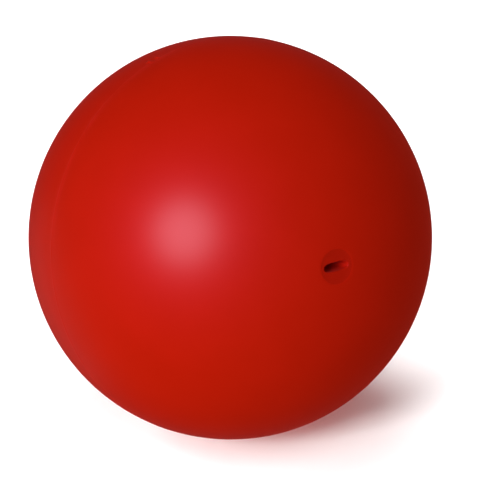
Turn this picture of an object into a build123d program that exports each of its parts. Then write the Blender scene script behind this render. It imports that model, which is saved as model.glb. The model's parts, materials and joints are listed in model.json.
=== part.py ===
from build123d import *
import os
from math import asin, cos, radians, sin, sqrt

# Massage ball: a hollow, one-piece skin of soft PVC, blown up through a self-sealing needle valve.
# Millimetres, +Z up, origin at the ball's centre. The valve faces -Y and looks a little upward.
# The skin's mould parts on a circle square to the valve's axis, a little nearer the valve than the centre.

# Ball
ball_radius = 50.0
wall = 3.0
valve_lift = 13.0  # angle of the valve's axis above the horizontal, in degrees

# Fine raised bead, about half a millimetre wide, that the mould's parting line leaves round the skin
bead_height = 0.12
bead_curve = 0.32
seam_offset = 1.4  # from the ball's centre to the parting line's plane, towards the valve

# Shallow dish over the valve: a flat floor and a gentle slope that runs out into the ball
dish_depth = 0.3  # from the ball's full radius down to the floor
dish_floor_radius = 3.9
dish_edge_radius = 4.7
dish_round = 4.0

# Boss inside the skin, moulded round the valve seat
boss_radius = 8.5
boss_depth = 9.0  # from the ball's full radius down to the boss's end
boss_blend = 1.5

# Valve seat: a sleeve moulded into the boss, with a flange under the boss's end
sleeve_radius = 6.0
seat_bore_radius = 3.6
flange_radius = 8.0
flange_thickness = 1.4
flange_round = 0.5

# Valve plug: its head fills the middle of the dish, its barb grips the seat from inside
head_radius = 4.2
head_thickness = 1.2
barb_radius = 4.1
barb_length = 1.8
nose_radius = 3.0

# Needle's way through the plug: an oblong pocket, whose floor closes to the self-sealing cut
pocket_mouth = (6.8, 2.3)  # length and width
pocket_floor = (5.0, 1.9)
pocket_depth = 3.8
cut = (3.0, 0.12)
cut_depth = 4.5

# Heights along the valve's axis, measured from the ball's centre
face_height = ball_radius - dish_depth
seat_top = face_height - head_thickness
boss_end = ball_radius - boss_depth
flange_end = boss_end - flange_thickness
plug_end = flange_end - barb_length

# The valve's axis, and the plane of all round profiles: x is the distance off the axis, y the height
valve_direction = Vector(0, -cos(radians(valve_lift)), sin(radians(valve_lift)))
valve_axis = Axis((0, 0, 0), valve_direction)
profile_plane = Plane((0, 0, 0), x_dir=(1, 0, 0), z_dir=Vector(1, 0, 0).cross(valve_direction))


def height_on_sphere(radius, off_axis):
    """Height along the axis at which a sphere of this radius is this far off the axis."""
    return sqrt(radius**2 - off_axis**2)


def height_on_slope(off_axis):
    """Height of the dish's slope this far off the axis."""
    rise = height_on_sphere(ball_radius, dish_edge_radius) - face_height
    return face_height + rise * (off_axis - dish_floor_radius) / (dish_edge_radius - dish_floor_radius)


def block(off_axis, bottom, top, mode=Mode.ADD):
    """A rectangle of the profile, from the axis out, which turns into a round block or hole."""
    with Locations((0, bottom)):
        Rectangle(off_axis, top - bottom, align=(Align.MIN, Align.MIN), mode=mode)


def corner(profile, off_axis, height):
    """The profile's corner nearest to this place."""
    return profile.vertices().sort_by_distance((off_axis, height, 0))[0]


def oblong(height, size):
    """An oblong with round ends, square to the valve's axis and long along X."""
    with BuildSketch(Plane(valve_direction * height, x_dir=(1, 0, 0), z_dir=valve_direction)) as outline:
        SlotOverall(*size)
    return outline.sketch


# The skin: ball and parting bead, hollowed out, with the boss, the dish and the way for the valve
seam_angle = asin(seam_offset / ball_radius)
bead_centre = Vector(cos(seam_angle), sin(seam_angle)) * (ball_radius + bead_height - bead_curve)
boss_root = height_on_sphere(ball_radius - wall, boss_radius)
dish_edge = (dish_edge_radius, height_on_sphere(ball_radius, dish_edge_radius))

with BuildPart() as ball_skin:
    with BuildSketch(profile_plane) as skin_profile:
        Circle(ball_radius)
        with Locations(bead_centre):
            Circle(bead_curve)
        Circle(ball_radius - wall, mode=Mode.SUBTRACT)
        block(boss_radius, boss_end, boss_root + wall / 2)
        block(sleeve_radius, boss_end, seat_top, mode=Mode.SUBTRACT)
        block(head_radius, seat_top, 2 * ball_radius, mode=Mode.SUBTRACT)
        with BuildLine():
            Polyline((head_radius, height_on_slope(head_radius)), dish_edge, (head_radius, ball_radius), close=True)
        make_face(mode=Mode.SUBTRACT)
        Rectangle(2 * ball_radius, 4 * ball_radius, align=(Align.MIN, Align.CENTER), mode=Mode.INTERSECT)
        fillet(corner(skin_profile, *dish_edge), dish_round)
        fillet(corner(skin_profile, boss_radius, boss_root), boss_blend)
    revolve(axis=valve_axis)
ball_skin.part.label = "ball_skin"

# The valve seat: sleeve and flange with one bore
with BuildPart() as valve_seat:
    with BuildSketch(profile_plane) as seat_profile:
        block(sleeve_radius, boss_end, seat_top)
        block(flange_radius, flange_end, boss_end)
        block(seat_bore_radius, flange_end, seat_top, mode=Mode.SUBTRACT)
        fillet(corner(seat_profile, flange_radius, flange_end), flange_round)
    revolve(axis=valve_axis)
valve_seat.part.label = "valve_seat"

# The valve plug: head, stem and barb in one, with the needle's way right through it
with BuildPart() as valve_plug:
    with BuildSketch(profile_plane):
        with BuildLine():
            Polyline(
                (0, face_height),
                (dish_floor_radius, face_height),
                (head_radius, height_on_slope(head_radius)),
                (head_radius, seat_top),
                (seat_bore_radius, seat_top),
                (seat_bore_radius, flange_end),
                (barb_radius, flange_end),
                (nose_radius, plug_end),
                (0, plug_end),
                close=True,
            )
        make_face()
    revolve(axis=valve_axis)
    mouth_outline = oblong(face_height, pocket_mouth)
    floor_outline = oblong(face_height - pocket_depth, pocket_floor)
    cut_outline = oblong(face_height - cut_depth, cut)
    loft([mouth_outline, floor_outline], mode=Mode.SUBTRACT)
    loft([floor_outline, cut_outline], mode=Mode.SUBTRACT)
    extrude(cut_outline, amount=plug_end - face_height + cut_depth, mode=Mode.SUBTRACT)
valve_plug.part.label = "valve_plug"

os.makedirs("parts", exist_ok=True)
for piece in (ball_skin, valve_seat, valve_plug):
    export_step(piece.part, f"parts/{piece.part.label}.step")
    print(piece.part.label, round(piece.part.volume / 1000, 3), "cm3", piece.part.bounding_box())
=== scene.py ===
"""Massage ball: the looks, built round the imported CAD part. Metres, in the CAD part's own frame."""

import json
import math

import bpy
import numpy as np
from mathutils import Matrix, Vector, noise


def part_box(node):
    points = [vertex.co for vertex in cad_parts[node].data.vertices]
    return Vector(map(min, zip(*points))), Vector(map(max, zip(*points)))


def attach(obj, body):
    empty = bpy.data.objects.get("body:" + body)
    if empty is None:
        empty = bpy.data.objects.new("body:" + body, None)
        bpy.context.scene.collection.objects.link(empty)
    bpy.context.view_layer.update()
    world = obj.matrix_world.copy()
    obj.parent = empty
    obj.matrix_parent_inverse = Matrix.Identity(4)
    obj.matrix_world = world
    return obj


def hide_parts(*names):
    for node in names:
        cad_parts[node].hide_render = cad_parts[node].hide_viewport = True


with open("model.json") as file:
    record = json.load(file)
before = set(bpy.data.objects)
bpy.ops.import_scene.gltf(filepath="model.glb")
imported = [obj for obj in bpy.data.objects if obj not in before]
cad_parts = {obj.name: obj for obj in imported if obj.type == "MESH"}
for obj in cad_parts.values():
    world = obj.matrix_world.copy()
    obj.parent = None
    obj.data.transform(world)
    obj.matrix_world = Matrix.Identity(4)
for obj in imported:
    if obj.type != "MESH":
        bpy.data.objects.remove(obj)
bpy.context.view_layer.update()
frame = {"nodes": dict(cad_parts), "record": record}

mm = 0.001
scene = bpy.context.scene

# ---------------------------------------------------------------- sizes taken from the frame
ball_radius = -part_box("ball_skin")[0].z
mounts = {mount["name"]: mount for mount in frame["record"]["mounts"]}
valve_axis = Vector(mounts["needle_port"]["axis"]).normalized()
face_height = Vector(mounts["needle_port"]["pos_m"]).length
head_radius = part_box("valve_plug")[1].x
slit_axis = Vector((1, 0, 0))
lift_axis = valve_axis.cross(slit_axis)  # square to the slit, up the valve's face

# ---------------------------------------------------------------- sizes of the skin
wall = 3.0 * mm
bead_height = 0.06 * mm
bead_width = 0.9 * mm
bead_mean = 0.6  # of bead_height
bead_swing = 0.8  # of bead_height, how far the bead wanders from its mean
bead_pitch = 9  # how often the bead's height wanders round the ball
seam_height = 1.4 * mm  # how far the parting line's plane lies from the ball's centre, towards the valve
seam_reach = 3.6 * mm  # how far from the parting line the bead and the nubs are felt
nub_degrees = (109.2, 106.5)  # places of two small nubs beside the parting line, round the valve's axis
nub_offset = -1.2 * mm  # from the parting line, away from the valve
nub_height = 0.4 * mm
nub_width = 0.5 * mm
nub_length = 0.9 * mm

# ---------------------------------------------------------------- sizes of the dish and the boss
dish_floor = 3.5 * mm
dish_edge = 4.9 * mm
head_thickness = 1.2 * mm
sleeve_radius = 6.0 * mm
boss_radius = 8.5 * mm
boss_depth = 9.0 * mm
boss_blend = 1.5 * mm

# ---------------------------------------------------------------- sizes of the valve plug
bore_radius = 3.6 * mm
flange_thickness = 1.4 * mm
barb_radius = 4.1 * mm
barb_length = 1.8 * mm
barb_land = 0.3 * mm  # the barb's straight edge, before it tapers to the nose
nose_radius = 3.0 * mm
pocket_lip = 0.15 * mm
pocket_mouth = (6.5 * mm, 2.2 * mm)  # length and width inside the lip
pocket_floor = (5.0 * mm, 1.9 * mm)
pocket_depth = 3.8 * mm
pocket_bluntness = (0.8, 0.6)  # along and across the slit: 1 is an ellipse, and less is nearer a rectangle
cut = (3.0 * mm, 0.12 * mm)
cut_depth = 4.5 * mm

# ---------------------------------------------------------------- heights along the valve's axis
throat_bottom = face_height - head_thickness
boss_end = ball_radius - boss_depth
flange_end = boss_end - flange_thickness
plug_end = flange_end - barb_length

# ---------------------------------------------------------------- how fine the meshes are
outer_pole = 179.2  # degrees from the valve, the skin's ring nearest to the far pole outside
inner_pole = 179.0  # the same inside
plain_rings = 56  # on each side of the parting line
inner_rings = 40
clear_of_seam = 4.5  # degrees from the parting line, where the plain rings end
beside_seam = (0.75, 4.0)  # degrees from the parting line, a closer stretch
beside_rings = 14
on_seam = 0.7  # degrees from the parting line, the closest stretch
on_seam_rings = 29
skin_dish_rings = 12
blend_steps = 8
nub_steps = np.arange(104.125, 112, 0.125)  # degrees round the ball, closer where the nubs are
skin_angles = np.unique(np.radians(np.append(np.arange(0.0, 360.0), nub_steps)))
valve_angles = np.linspace(0, 2 * math.pi, 128, endpoint=False)
plug_dish_rings = 7
lip_rings = 7
pocket_wall_rings = 10
sharp_angle = 50  # edges that turn by more than this many degrees stay sharp

# ---------------------------------------------------------------- finish of the vinyl
gloss_spread = 0.04  # how far the roughness wanders to either side
mottle_scale = 90
mottle_detail = 4
grain_scale = 2500
grain_detail = 3
grain_height = 0.02 * mm
grain_strength = 0.15
seam_bloom = (0.71, 0.021, 0.008)  # the paler red that the mould leaves along its parting line
bloom_reach = 2.0 * mm
bloom_least = 0.15  # between the patches
patch_scale = 130
patch_detail = 2
patch_range = (0.35, 0.65)  # the noise that gives the least bloom, and the most


# ---------------------------------------------------------------- places and meshes
def in_frame(across, lift, along):
    """The place this far along the slit, up the valve's face, and along the valve's axis."""
    return slit_axis * across + lift_axis * lift + valve_axis * along


def turn(off_axis, along, angles):
    """One ring of points round the valve's axis."""
    return [in_frame(off_axis * math.cos(a), off_axis * math.sin(a), along) for a in angles]


def arc(centre, radius, start, end, steps):
    """Points of an arc in a profile, from one angle to the other, in degrees from the off-axis direction."""
    angles = np.radians(np.linspace(start, end, steps + 1))
    return [(centre[0] + radius * math.cos(a), centre[1] + radius * math.sin(a)) for a in angles]


def on_sphere(radius, degrees):
    """Points of a profile on a sphere: (off axis, along), each this far from the valve in degrees."""
    return [(radius * math.sin(a), radius * math.cos(a)) for a in np.radians(degrees)]


def mesh_object(name, vertices, faces):
    """A smooth-shaded object with this mesh, whose sharp edges stay sharp."""
    mesh = bpy.data.meshes.new(name)
    mesh.from_pydata([tuple(v) for v in vertices], [], faces)
    mesh.validate()
    mesh.polygons.foreach_set("use_smooth", [True] * len(mesh.polygons))
    mesh.set_sharp_from_angle(angle=math.radians(sharp_angle))
    mesh.update()
    piece = bpy.data.objects.new(name, mesh)
    scene.collection.objects.link(piece)
    return piece


def ring_faces(rings, segments, closed):
    """Quads between each ring of points and the next, and from the last to the first where it is closed."""
    faces = []
    for ring in range(rings if closed else rings - 1):
        here = ring * segments
        there = (ring + 1) % rings * segments
        for i in range(segments):
            j = (i + 1) % segments
            faces.append((here + i, here + j, there + j, there + i))
    return faces


# ---------------------------------------------------------------- ball skin
def dish_height(off_axis):
    """The height of the outside near the valve: the sphere, which dips smoothly to the valve's flat face."""
    sphere = math.sqrt(ball_radius**2 - off_axis**2)
    share = min(1.0, max(0.0, (dish_edge - off_axis) / (dish_edge - dish_floor)))
    return sphere + (face_height - sphere) * share**2 * (3 - 2 * share)


def seam_relief(around, from_seam):
    """How far the skin stands proud near the parting line: an uneven bead, and two small nubs beside it."""
    wander = noise.noise(Vector((math.cos(around), math.sin(around), 0)) * bead_pitch)
    crown = max(0.0, 1 - (2 * from_seam / bead_width) ** 2) ** 2
    relief = bead_height * (bead_mean + bead_swing * wander) * crown
    for degrees in nub_degrees:
        beside = (around - math.radians(degrees)) * ball_radius / nub_width
        beyond = (from_seam - nub_offset) / nub_length
        relief += nub_height * math.exp(-(beside**2) - beyond**2)
    return relief


def outer_profile():
    """The skin's outside, from the far pole to the valve's edge: (off axis, along)."""
    seam = 90 - math.degrees(math.asin(seam_height / ball_radius))
    dish_start = math.degrees(math.asin(dish_edge / ball_radius))
    near, far = beside_seam
    degrees = np.concatenate(
        (
            np.linspace(outer_pole, seam + clear_of_seam, plain_rings),
            seam + np.linspace(far, near, beside_rings),
            seam + np.linspace(on_seam, -on_seam, on_seam_rings),
            seam - np.linspace(near, far, beside_rings),
            np.linspace(seam - clear_of_seam, dish_start, plain_rings),
        )
    )
    across_dish = np.linspace(dish_edge, head_radius, skin_dish_rings)[1:]
    return on_sphere(ball_radius, degrees) + [(off_axis, dish_height(off_axis)) for off_axis in across_dish]


def inner_profile():
    """The skin's inside, from the valve's edge over the boss to the far pole: (off axis, along)."""
    inner_radius = ball_radius - wall
    blend_centre = boss_radius + boss_blend
    blend_along = math.sqrt((inner_radius - boss_blend) ** 2 - blend_centre**2)
    blend_angle = math.degrees(math.atan2(blend_along, blend_centre))
    return (
        [(head_radius, throat_bottom), (sleeve_radius, throat_bottom)]
        + [(sleeve_radius, boss_end), (boss_radius, boss_end)]
        + arc((blend_centre, blend_along), boss_blend, 180, blend_angle, blend_steps)
        + on_sphere(inner_radius, np.linspace(90 - blend_angle, inner_pole, inner_rings))[1:]
    )


def skin_ring(off_axis, along):
    """A ring of the skin, raised where it passes the parting line on the outside."""
    ring = turn(off_axis, along, skin_angles)
    from_seam = along - seam_height
    outside = off_axis > ball_radius - wall / 2
    if outside and abs(from_seam) < seam_reach:
        lifts = [1 + seam_relief(a, from_seam) / ball_radius for a in skin_angles]
        ring = [point * lift for point, lift in zip(ring, lifts)]
    return ring


def make_ball_skin():
    """The hollow skin, whose rings close at the far pole, outside and inside."""
    profile = outer_profile() + inner_profile()
    segments = len(skin_angles)
    vertices = [point for off_axis, along in profile for point in skin_ring(off_axis, along)]
    faces = ring_faces(len(profile), segments, closed=False)
    poles = len(vertices)
    vertices += [in_frame(0, 0, -ball_radius), in_frame(0, 0, wall - ball_radius)]
    last_ring = (len(profile) - 1) * segments
    for i in range(segments):
        j = (i + 1) % segments
        faces.append((poles, j, i))
        faces.append((poles + 1, last_ring + i, last_ring + j))
    return mesh_object("ball", vertices, faces)


# ---------------------------------------------------------------- valve plug
def oblong(length, width, depth):
    """A ring with blunt ends, long along the slit's line, this deep below the valve's face."""
    along_slit, across_slit = pocket_bluntness
    ring = []
    for a in valve_angles:
        across = length / 2 * math.copysign(abs(math.cos(a)) ** along_slit, math.cos(a))
        lift = width / 2 * math.copysign(abs(math.sin(a)) ** across_slit, math.sin(a))
        ring.append(in_frame(across, lift, face_height - depth))
    return ring


def pocket_rings():
    """The needle's pocket: a rounded lip, steep walls, a floor that closes to the cut, and the cut."""
    rings = []
    for angle in np.radians(np.linspace(0, 90, lip_rings)):
        spread = 2 * pocket_lip * (1 - math.sin(angle))
        depth = pocket_lip * (1 - math.cos(angle))
        rings.append(oblong(pocket_mouth[0] + spread, pocket_mouth[1] + spread, depth))
    for share in np.linspace(0, 1, pocket_wall_rings + 1)[1:]:
        length, width = (a + (b - a) * share for a, b in zip(pocket_mouth, pocket_floor))
        rings.append(oblong(length, width, pocket_lip + (pocket_depth - pocket_lip) * share))
    rings.append(oblong(*cut, cut_depth))
    rings.append(oblong(*cut, face_height - plug_end))
    return rings


def make_valve_plug():
    """The plug: its part of the dish, its flat face, the pocket right through it, and its outside."""
    dish = [
        turn(off_axis, dish_height(off_axis), valve_angles)
        for off_axis in np.linspace(head_radius, dish_floor, plug_dish_rings)[:-1]
    ]
    pocket = pocket_rings()
    edge = turn(dish_floor, face_height, valve_angles)
    face = [[a.lerp(b, share) for a, b in zip(pocket[0], edge)] for share in (1.0, 0.75, 0.5, 0.25)]
    body = [
        (nose_radius, plug_end),
        (barb_radius, flange_end - barb_land),
        (barb_radius, flange_end),
        (bore_radius, flange_end),
        (bore_radius, throat_bottom),
        (head_radius, throat_bottom),
    ]
    rings = dish + face + pocket + [turn(off_axis, along, valve_angles) for off_axis, along in body]
    vertices = [point for ring in rings for point in ring]
    return mesh_object("valve", vertices, ring_faces(len(rings), len(valve_angles), closed=True))


skin = make_ball_skin()
plug = make_valve_plug()


# ---------------------------------------------------------------- materials
def noise_pattern(tree, place, scale, detail):
    """Noise from 0 to 1 that is fixed to the ball."""
    pattern = tree.nodes.new("ShaderNodeTexNoise")
    pattern.inputs["Scale"].default_value = scale
    pattern.inputs["Detail"].default_value = detail
    tree.links.new(place, pattern.inputs["Vector"])
    return pattern.outputs["Fac"]


def calculate(tree, operation, *values):
    """The result of a Math node, whose inputs are sockets or numbers."""
    node = tree.nodes.new("ShaderNodeMath")
    node.operation = operation
    for value, socket in zip(values, node.inputs):
        if isinstance(value, float):
            socket.default_value = value
        else:
            tree.links.new(value, socket)
    return node.outputs["Value"]


def seam_band(tree, place):
    """A soft patchy band along the parting line: 0 away from it, up to 1 on it."""
    along = tree.nodes.new("ShaderNodeVectorMath")
    along.operation = "DOT_PRODUCT"
    along.inputs[1].default_value = valve_axis
    tree.links.new(place, along.inputs[0])
    offset = calculate(tree, "SUBTRACT", along.outputs["Value"], seam_height)
    band = tree.nodes.new("ShaderNodeMapRange")
    band.interpolation_type = "SMOOTHSTEP"
    band.inputs["From Min"].default_value = 0.0
    band.inputs["From Max"].default_value = bloom_reach
    band.inputs["To Min"].default_value = 1.0
    band.inputs["To Max"].default_value = 0.0
    tree.links.new(calculate(tree, "ABSOLUTE", offset), band.inputs["Value"])
    strength = tree.nodes.new("ShaderNodeMapRange")
    strength.inputs["From Min"].default_value = patch_range[0]
    strength.inputs["From Max"].default_value = patch_range[1]
    strength.inputs["To Min"].default_value = bloom_least
    tree.links.new(noise_pattern(tree, place, patch_scale, patch_detail), strength.inputs["Value"])
    return calculate(tree, "MULTIPLY", band.outputs["Result"], strength.outputs["Result"])


def vinyl_colour(tree, place, mottle, deep, bright):
    """Two reds mottled together, with the bloom of the parting line over them."""
    reds = tree.nodes.new("ShaderNodeMix")
    reds.data_type = "RGBA"
    reds.inputs["A"].default_value = (*deep, 1)
    reds.inputs["B"].default_value = (*bright, 1)
    tree.links.new(mottle, reds.inputs["Factor"])
    bloomed = tree.nodes.new("ShaderNodeMix")
    bloomed.data_type = "RGBA"
    bloomed.inputs["B"].default_value = (*seam_bloom, 1)
    tree.links.new(reds.outputs["Result"], bloomed.inputs["A"])
    tree.links.new(seam_band(tree, place), bloomed.inputs["Factor"])
    return bloomed.outputs["Result"]


def fine_grain(tree, place):
    """The surface's normal, roughened by a fine grain."""
    bump = tree.nodes.new("ShaderNodeBump")
    bump.inputs["Strength"].default_value = grain_strength
    bump.inputs["Distance"].default_value = grain_height
    tree.links.new(noise_pattern(tree, place, grain_scale, grain_detail), bump.inputs["Height"])
    return bump.outputs["Normal"]


def soft_vinyl(name, deep, bright, roughness):
    """A satin vinyl: a wide red gloss under the surface, a narrower white one on it, and a faint sheen."""
    material = bpy.data.materials.new(name)
    material.use_nodes = True
    tree = material.node_tree
    shader = tree.nodes["Principled BSDF"]
    place = tree.nodes.new("ShaderNodeTexCoord").outputs["Object"]
    mottle = noise_pattern(tree, place, mottle_scale, mottle_detail)
    tree.links.new(vinyl_colour(tree, place, mottle, deep, bright), shader.inputs["Base Color"])
    gloss = tree.nodes.new("ShaderNodeMapRange")
    gloss.inputs["To Min"].default_value = roughness - gloss_spread
    gloss.inputs["To Max"].default_value = roughness + gloss_spread
    tree.links.new(mottle, gloss.inputs["Value"])
    tree.links.new(gloss.outputs["Result"], shader.inputs["Roughness"])
    grain = fine_grain(tree, place)
    tree.links.new(grain, shader.inputs["Normal"])
    tree.links.new(grain, shader.inputs["Coat Normal"])
    shader.inputs["IOR"].default_value = 1.55
    shader.inputs["Specular IOR Level"].default_value = 1.0
    shader.inputs["Specular Tint"].default_value = (1.0, 0.0, 0.1, 1)
    shader.inputs["Coat Weight"].default_value = 0.175
    shader.inputs["Coat IOR"].default_value = 2.0
    shader.inputs["Coat Roughness"].default_value = 0.34
    shader.inputs["Sheen Weight"].default_value = 0.03
    shader.inputs["Sheen Roughness"].default_value = 0.3
    return material


def matt_paint(name, grey):
    """A plain matt grey or white."""
    material = bpy.data.materials.new(name)
    material.use_nodes = True
    tree = material.node_tree
    paint = tree.nodes.new("ShaderNodeBsdfDiffuse")
    paint.inputs["Color"].default_value = (grey, grey, grey, 1)
    tree.links.new(paint.outputs["BSDF"], tree.nodes["Material Output"].inputs["Surface"])
    tree.nodes.remove(tree.nodes["Principled BSDF"])
    return material


skin_material = soft_vinyl("red_vinyl", (0.64, 0.0145, 0.001), (0.70, 0.0165, 0.002), 0.57)
plug_material = soft_vinyl("red_rubber", (0.55, 0.0125, 0.001), (0.60, 0.0145, 0.002), 0.6)
skin.data.materials.append(skin_material)
plug.data.materials.append(plug_material)
for slot in frame["nodes"]["valve_seat"].material_slots:
    slot.material = plug_material

for piece, node, slot in ((skin, "ball_skin", "skin"), (plug, "valve_plug", "plug")):
    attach(piece, "root")
    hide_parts(node)

# ---------------------------------------------------------------- floor
floor_rings = (0.3, 1.0)
floor_reach = 2.5
floor_sides = 96
sweep_radius = 0.8
sweep_steps = 12
sweep_top = 2.0


def make_floor():
    """A round table top whose edge sweeps up into a wall."""
    flat = [(out, -ball_radius) for out in floor_rings]
    sweep = arc((floor_reach, sweep_radius - ball_radius), sweep_radius, -90, 0, sweep_steps)
    profile = flat + sweep + [(floor_reach + sweep_radius, sweep_top)]
    angles = np.linspace(0, 2 * math.pi, floor_sides, endpoint=False)
    vertices = [(out * math.cos(a), out * math.sin(a), up) for out, up in profile for a in angles]
    faces = [face[::-1] for face in ring_faces(len(profile), floor_sides, closed=False)]
    faces.append(tuple(range(floor_sides)))
    return mesh_object("floor", vertices, faces)


# The camera sees the floor, but the ball takes no light, shadow or reflection from it.
floor = make_floor()
floor.data.materials.append(matt_paint("pale_floor", 0.9))
floor.visible_diffuse = False
floor.visible_glossy = False
floor.visible_shadow = False

# ---------------------------------------------------------------- camera
view_azimuth = math.radians(-30.5)
view_elevation = math.radians(24)
camera_distance = 13 * ball_radius
aim_right = 2.765 * mm
aim_down = 3.07 * mm

toward_camera = Vector(
    (
        math.sin(view_azimuth) * math.cos(view_elevation),
        -math.cos(view_azimuth) * math.cos(view_elevation),
        math.sin(view_elevation),
    )
)
camera_right = Vector((math.cos(view_azimuth), math.sin(view_azimuth), 0))
camera_up = toward_camera.cross(camera_right)
aim = camera_right * aim_right - camera_up * aim_down

camera_data = bpy.data.cameras.new("camera")
camera_data.lens = 188.45
camera_data.sensor_width = 36
camera = bpy.data.objects.new("camera", camera_data)
camera.location = toward_camera * camera_distance
camera.rotation_euler = (aim - camera.location).to_track_quat("-Z", "Y").to_euler()
scene.collection.objects.link(camera)
scene.camera = camera


# ---------------------------------------------------------------- light
def toward(azimuth, elevation):
    """A direction: the azimuth is 0 on the camera's side and grows to the camera's right, in degrees."""
    azimuth = math.radians(azimuth)
    elevation = math.radians(elevation)
    flat_toward = Vector((toward_camera.x, toward_camera.y, 0)).normalized()
    flat = flat_toward * math.cos(azimuth) + camera_right * math.sin(azimuth)
    return flat * math.cos(elevation) + Vector((0, 0, math.sin(elevation)))


def add_lamp(name, kind, direction, distance, strength, lit):
    """A lamp at this distance that faces the ball and lights only these objects."""
    data = bpy.data.lights.new(name, kind)
    data.energy = strength
    lamp = bpy.data.objects.new(name, data)
    lamp.location = direction * distance
    lamp.rotation_euler = (-direction).to_track_quat("-Z", "Y").to_euler()
    lamp.light_linking.receiver_collection = lit
    scene.collection.objects.link(lamp)
    return lamp


def soft_box(name, direction, distance, size, power, colour, lit):
    """A round soft light near the ball, whose gloss mirrors it."""
    lamp = add_lamp(name, "AREA", direction, distance, power, lit)
    lamp.data.shape = "DISK"
    lamp.data.size = size
    lamp.data.color = colour


def soft_sky(name, direction, spread, strength, lit, mirrored=False):
    """Even light from far off, this many degrees wide, which gloss mirrors only where this says so."""
    lamp = add_lamp(name, "SUN", direction, 1.0, strength, lit)
    lamp.data.angle = math.radians(spread)
    lamp.data.cycles.use_multiple_importance_sampling = False
    lamp.visible_glossy = mirrored


def collection_of(name, pieces):
    """A collection that lights can be linked to."""
    group = bpy.data.collections.new(name)
    for piece in pieces:
        group.objects.link(piece)
    return group


ball_alone = collection_of("ball_alone", [skin, plug, frame["nodes"]["valve_seat"]])
floor_alone = collection_of("floor_alone", [floor])

soft_box("key", toward(-27.7, 24.5), 1.2, 0.66, 10.7, (1.0, 0.85, 1.0), ball_alone)
soft_sky("room_behind", toward(147, 25), 148, 1.71, ball_alone)
soft_sky("table_below", toward(-115, -75), 150, 2.02, ball_alone)
soft_sky("rim", toward(-125, -30), 45, 0.08, ball_alone, mirrored=True)

# The floor has its own lights, so that it stays white round a soft shadow.
soft_sky("floor_key", toward(-33, 24), 15, 3.4, floor_alone)
soft_sky("floor_back", toward(-120, 28), 30, 2.7, floor_alone)
soft_sky("floor_left", toward(-90, 10), 30, 3.6, floor_alone)
soft_sky("floor_right", toward(60, 10), 30, 2.9, floor_alone)
soft_sky("floor_front", toward(0, 50), 30, 1.5, floor_alone)
soft_sky("floor_top", toward(0, 90), 30, 1.1, floor_alone)
scene.view_settings.view_transform = "Standard"

bpy.context.view_layer.update()
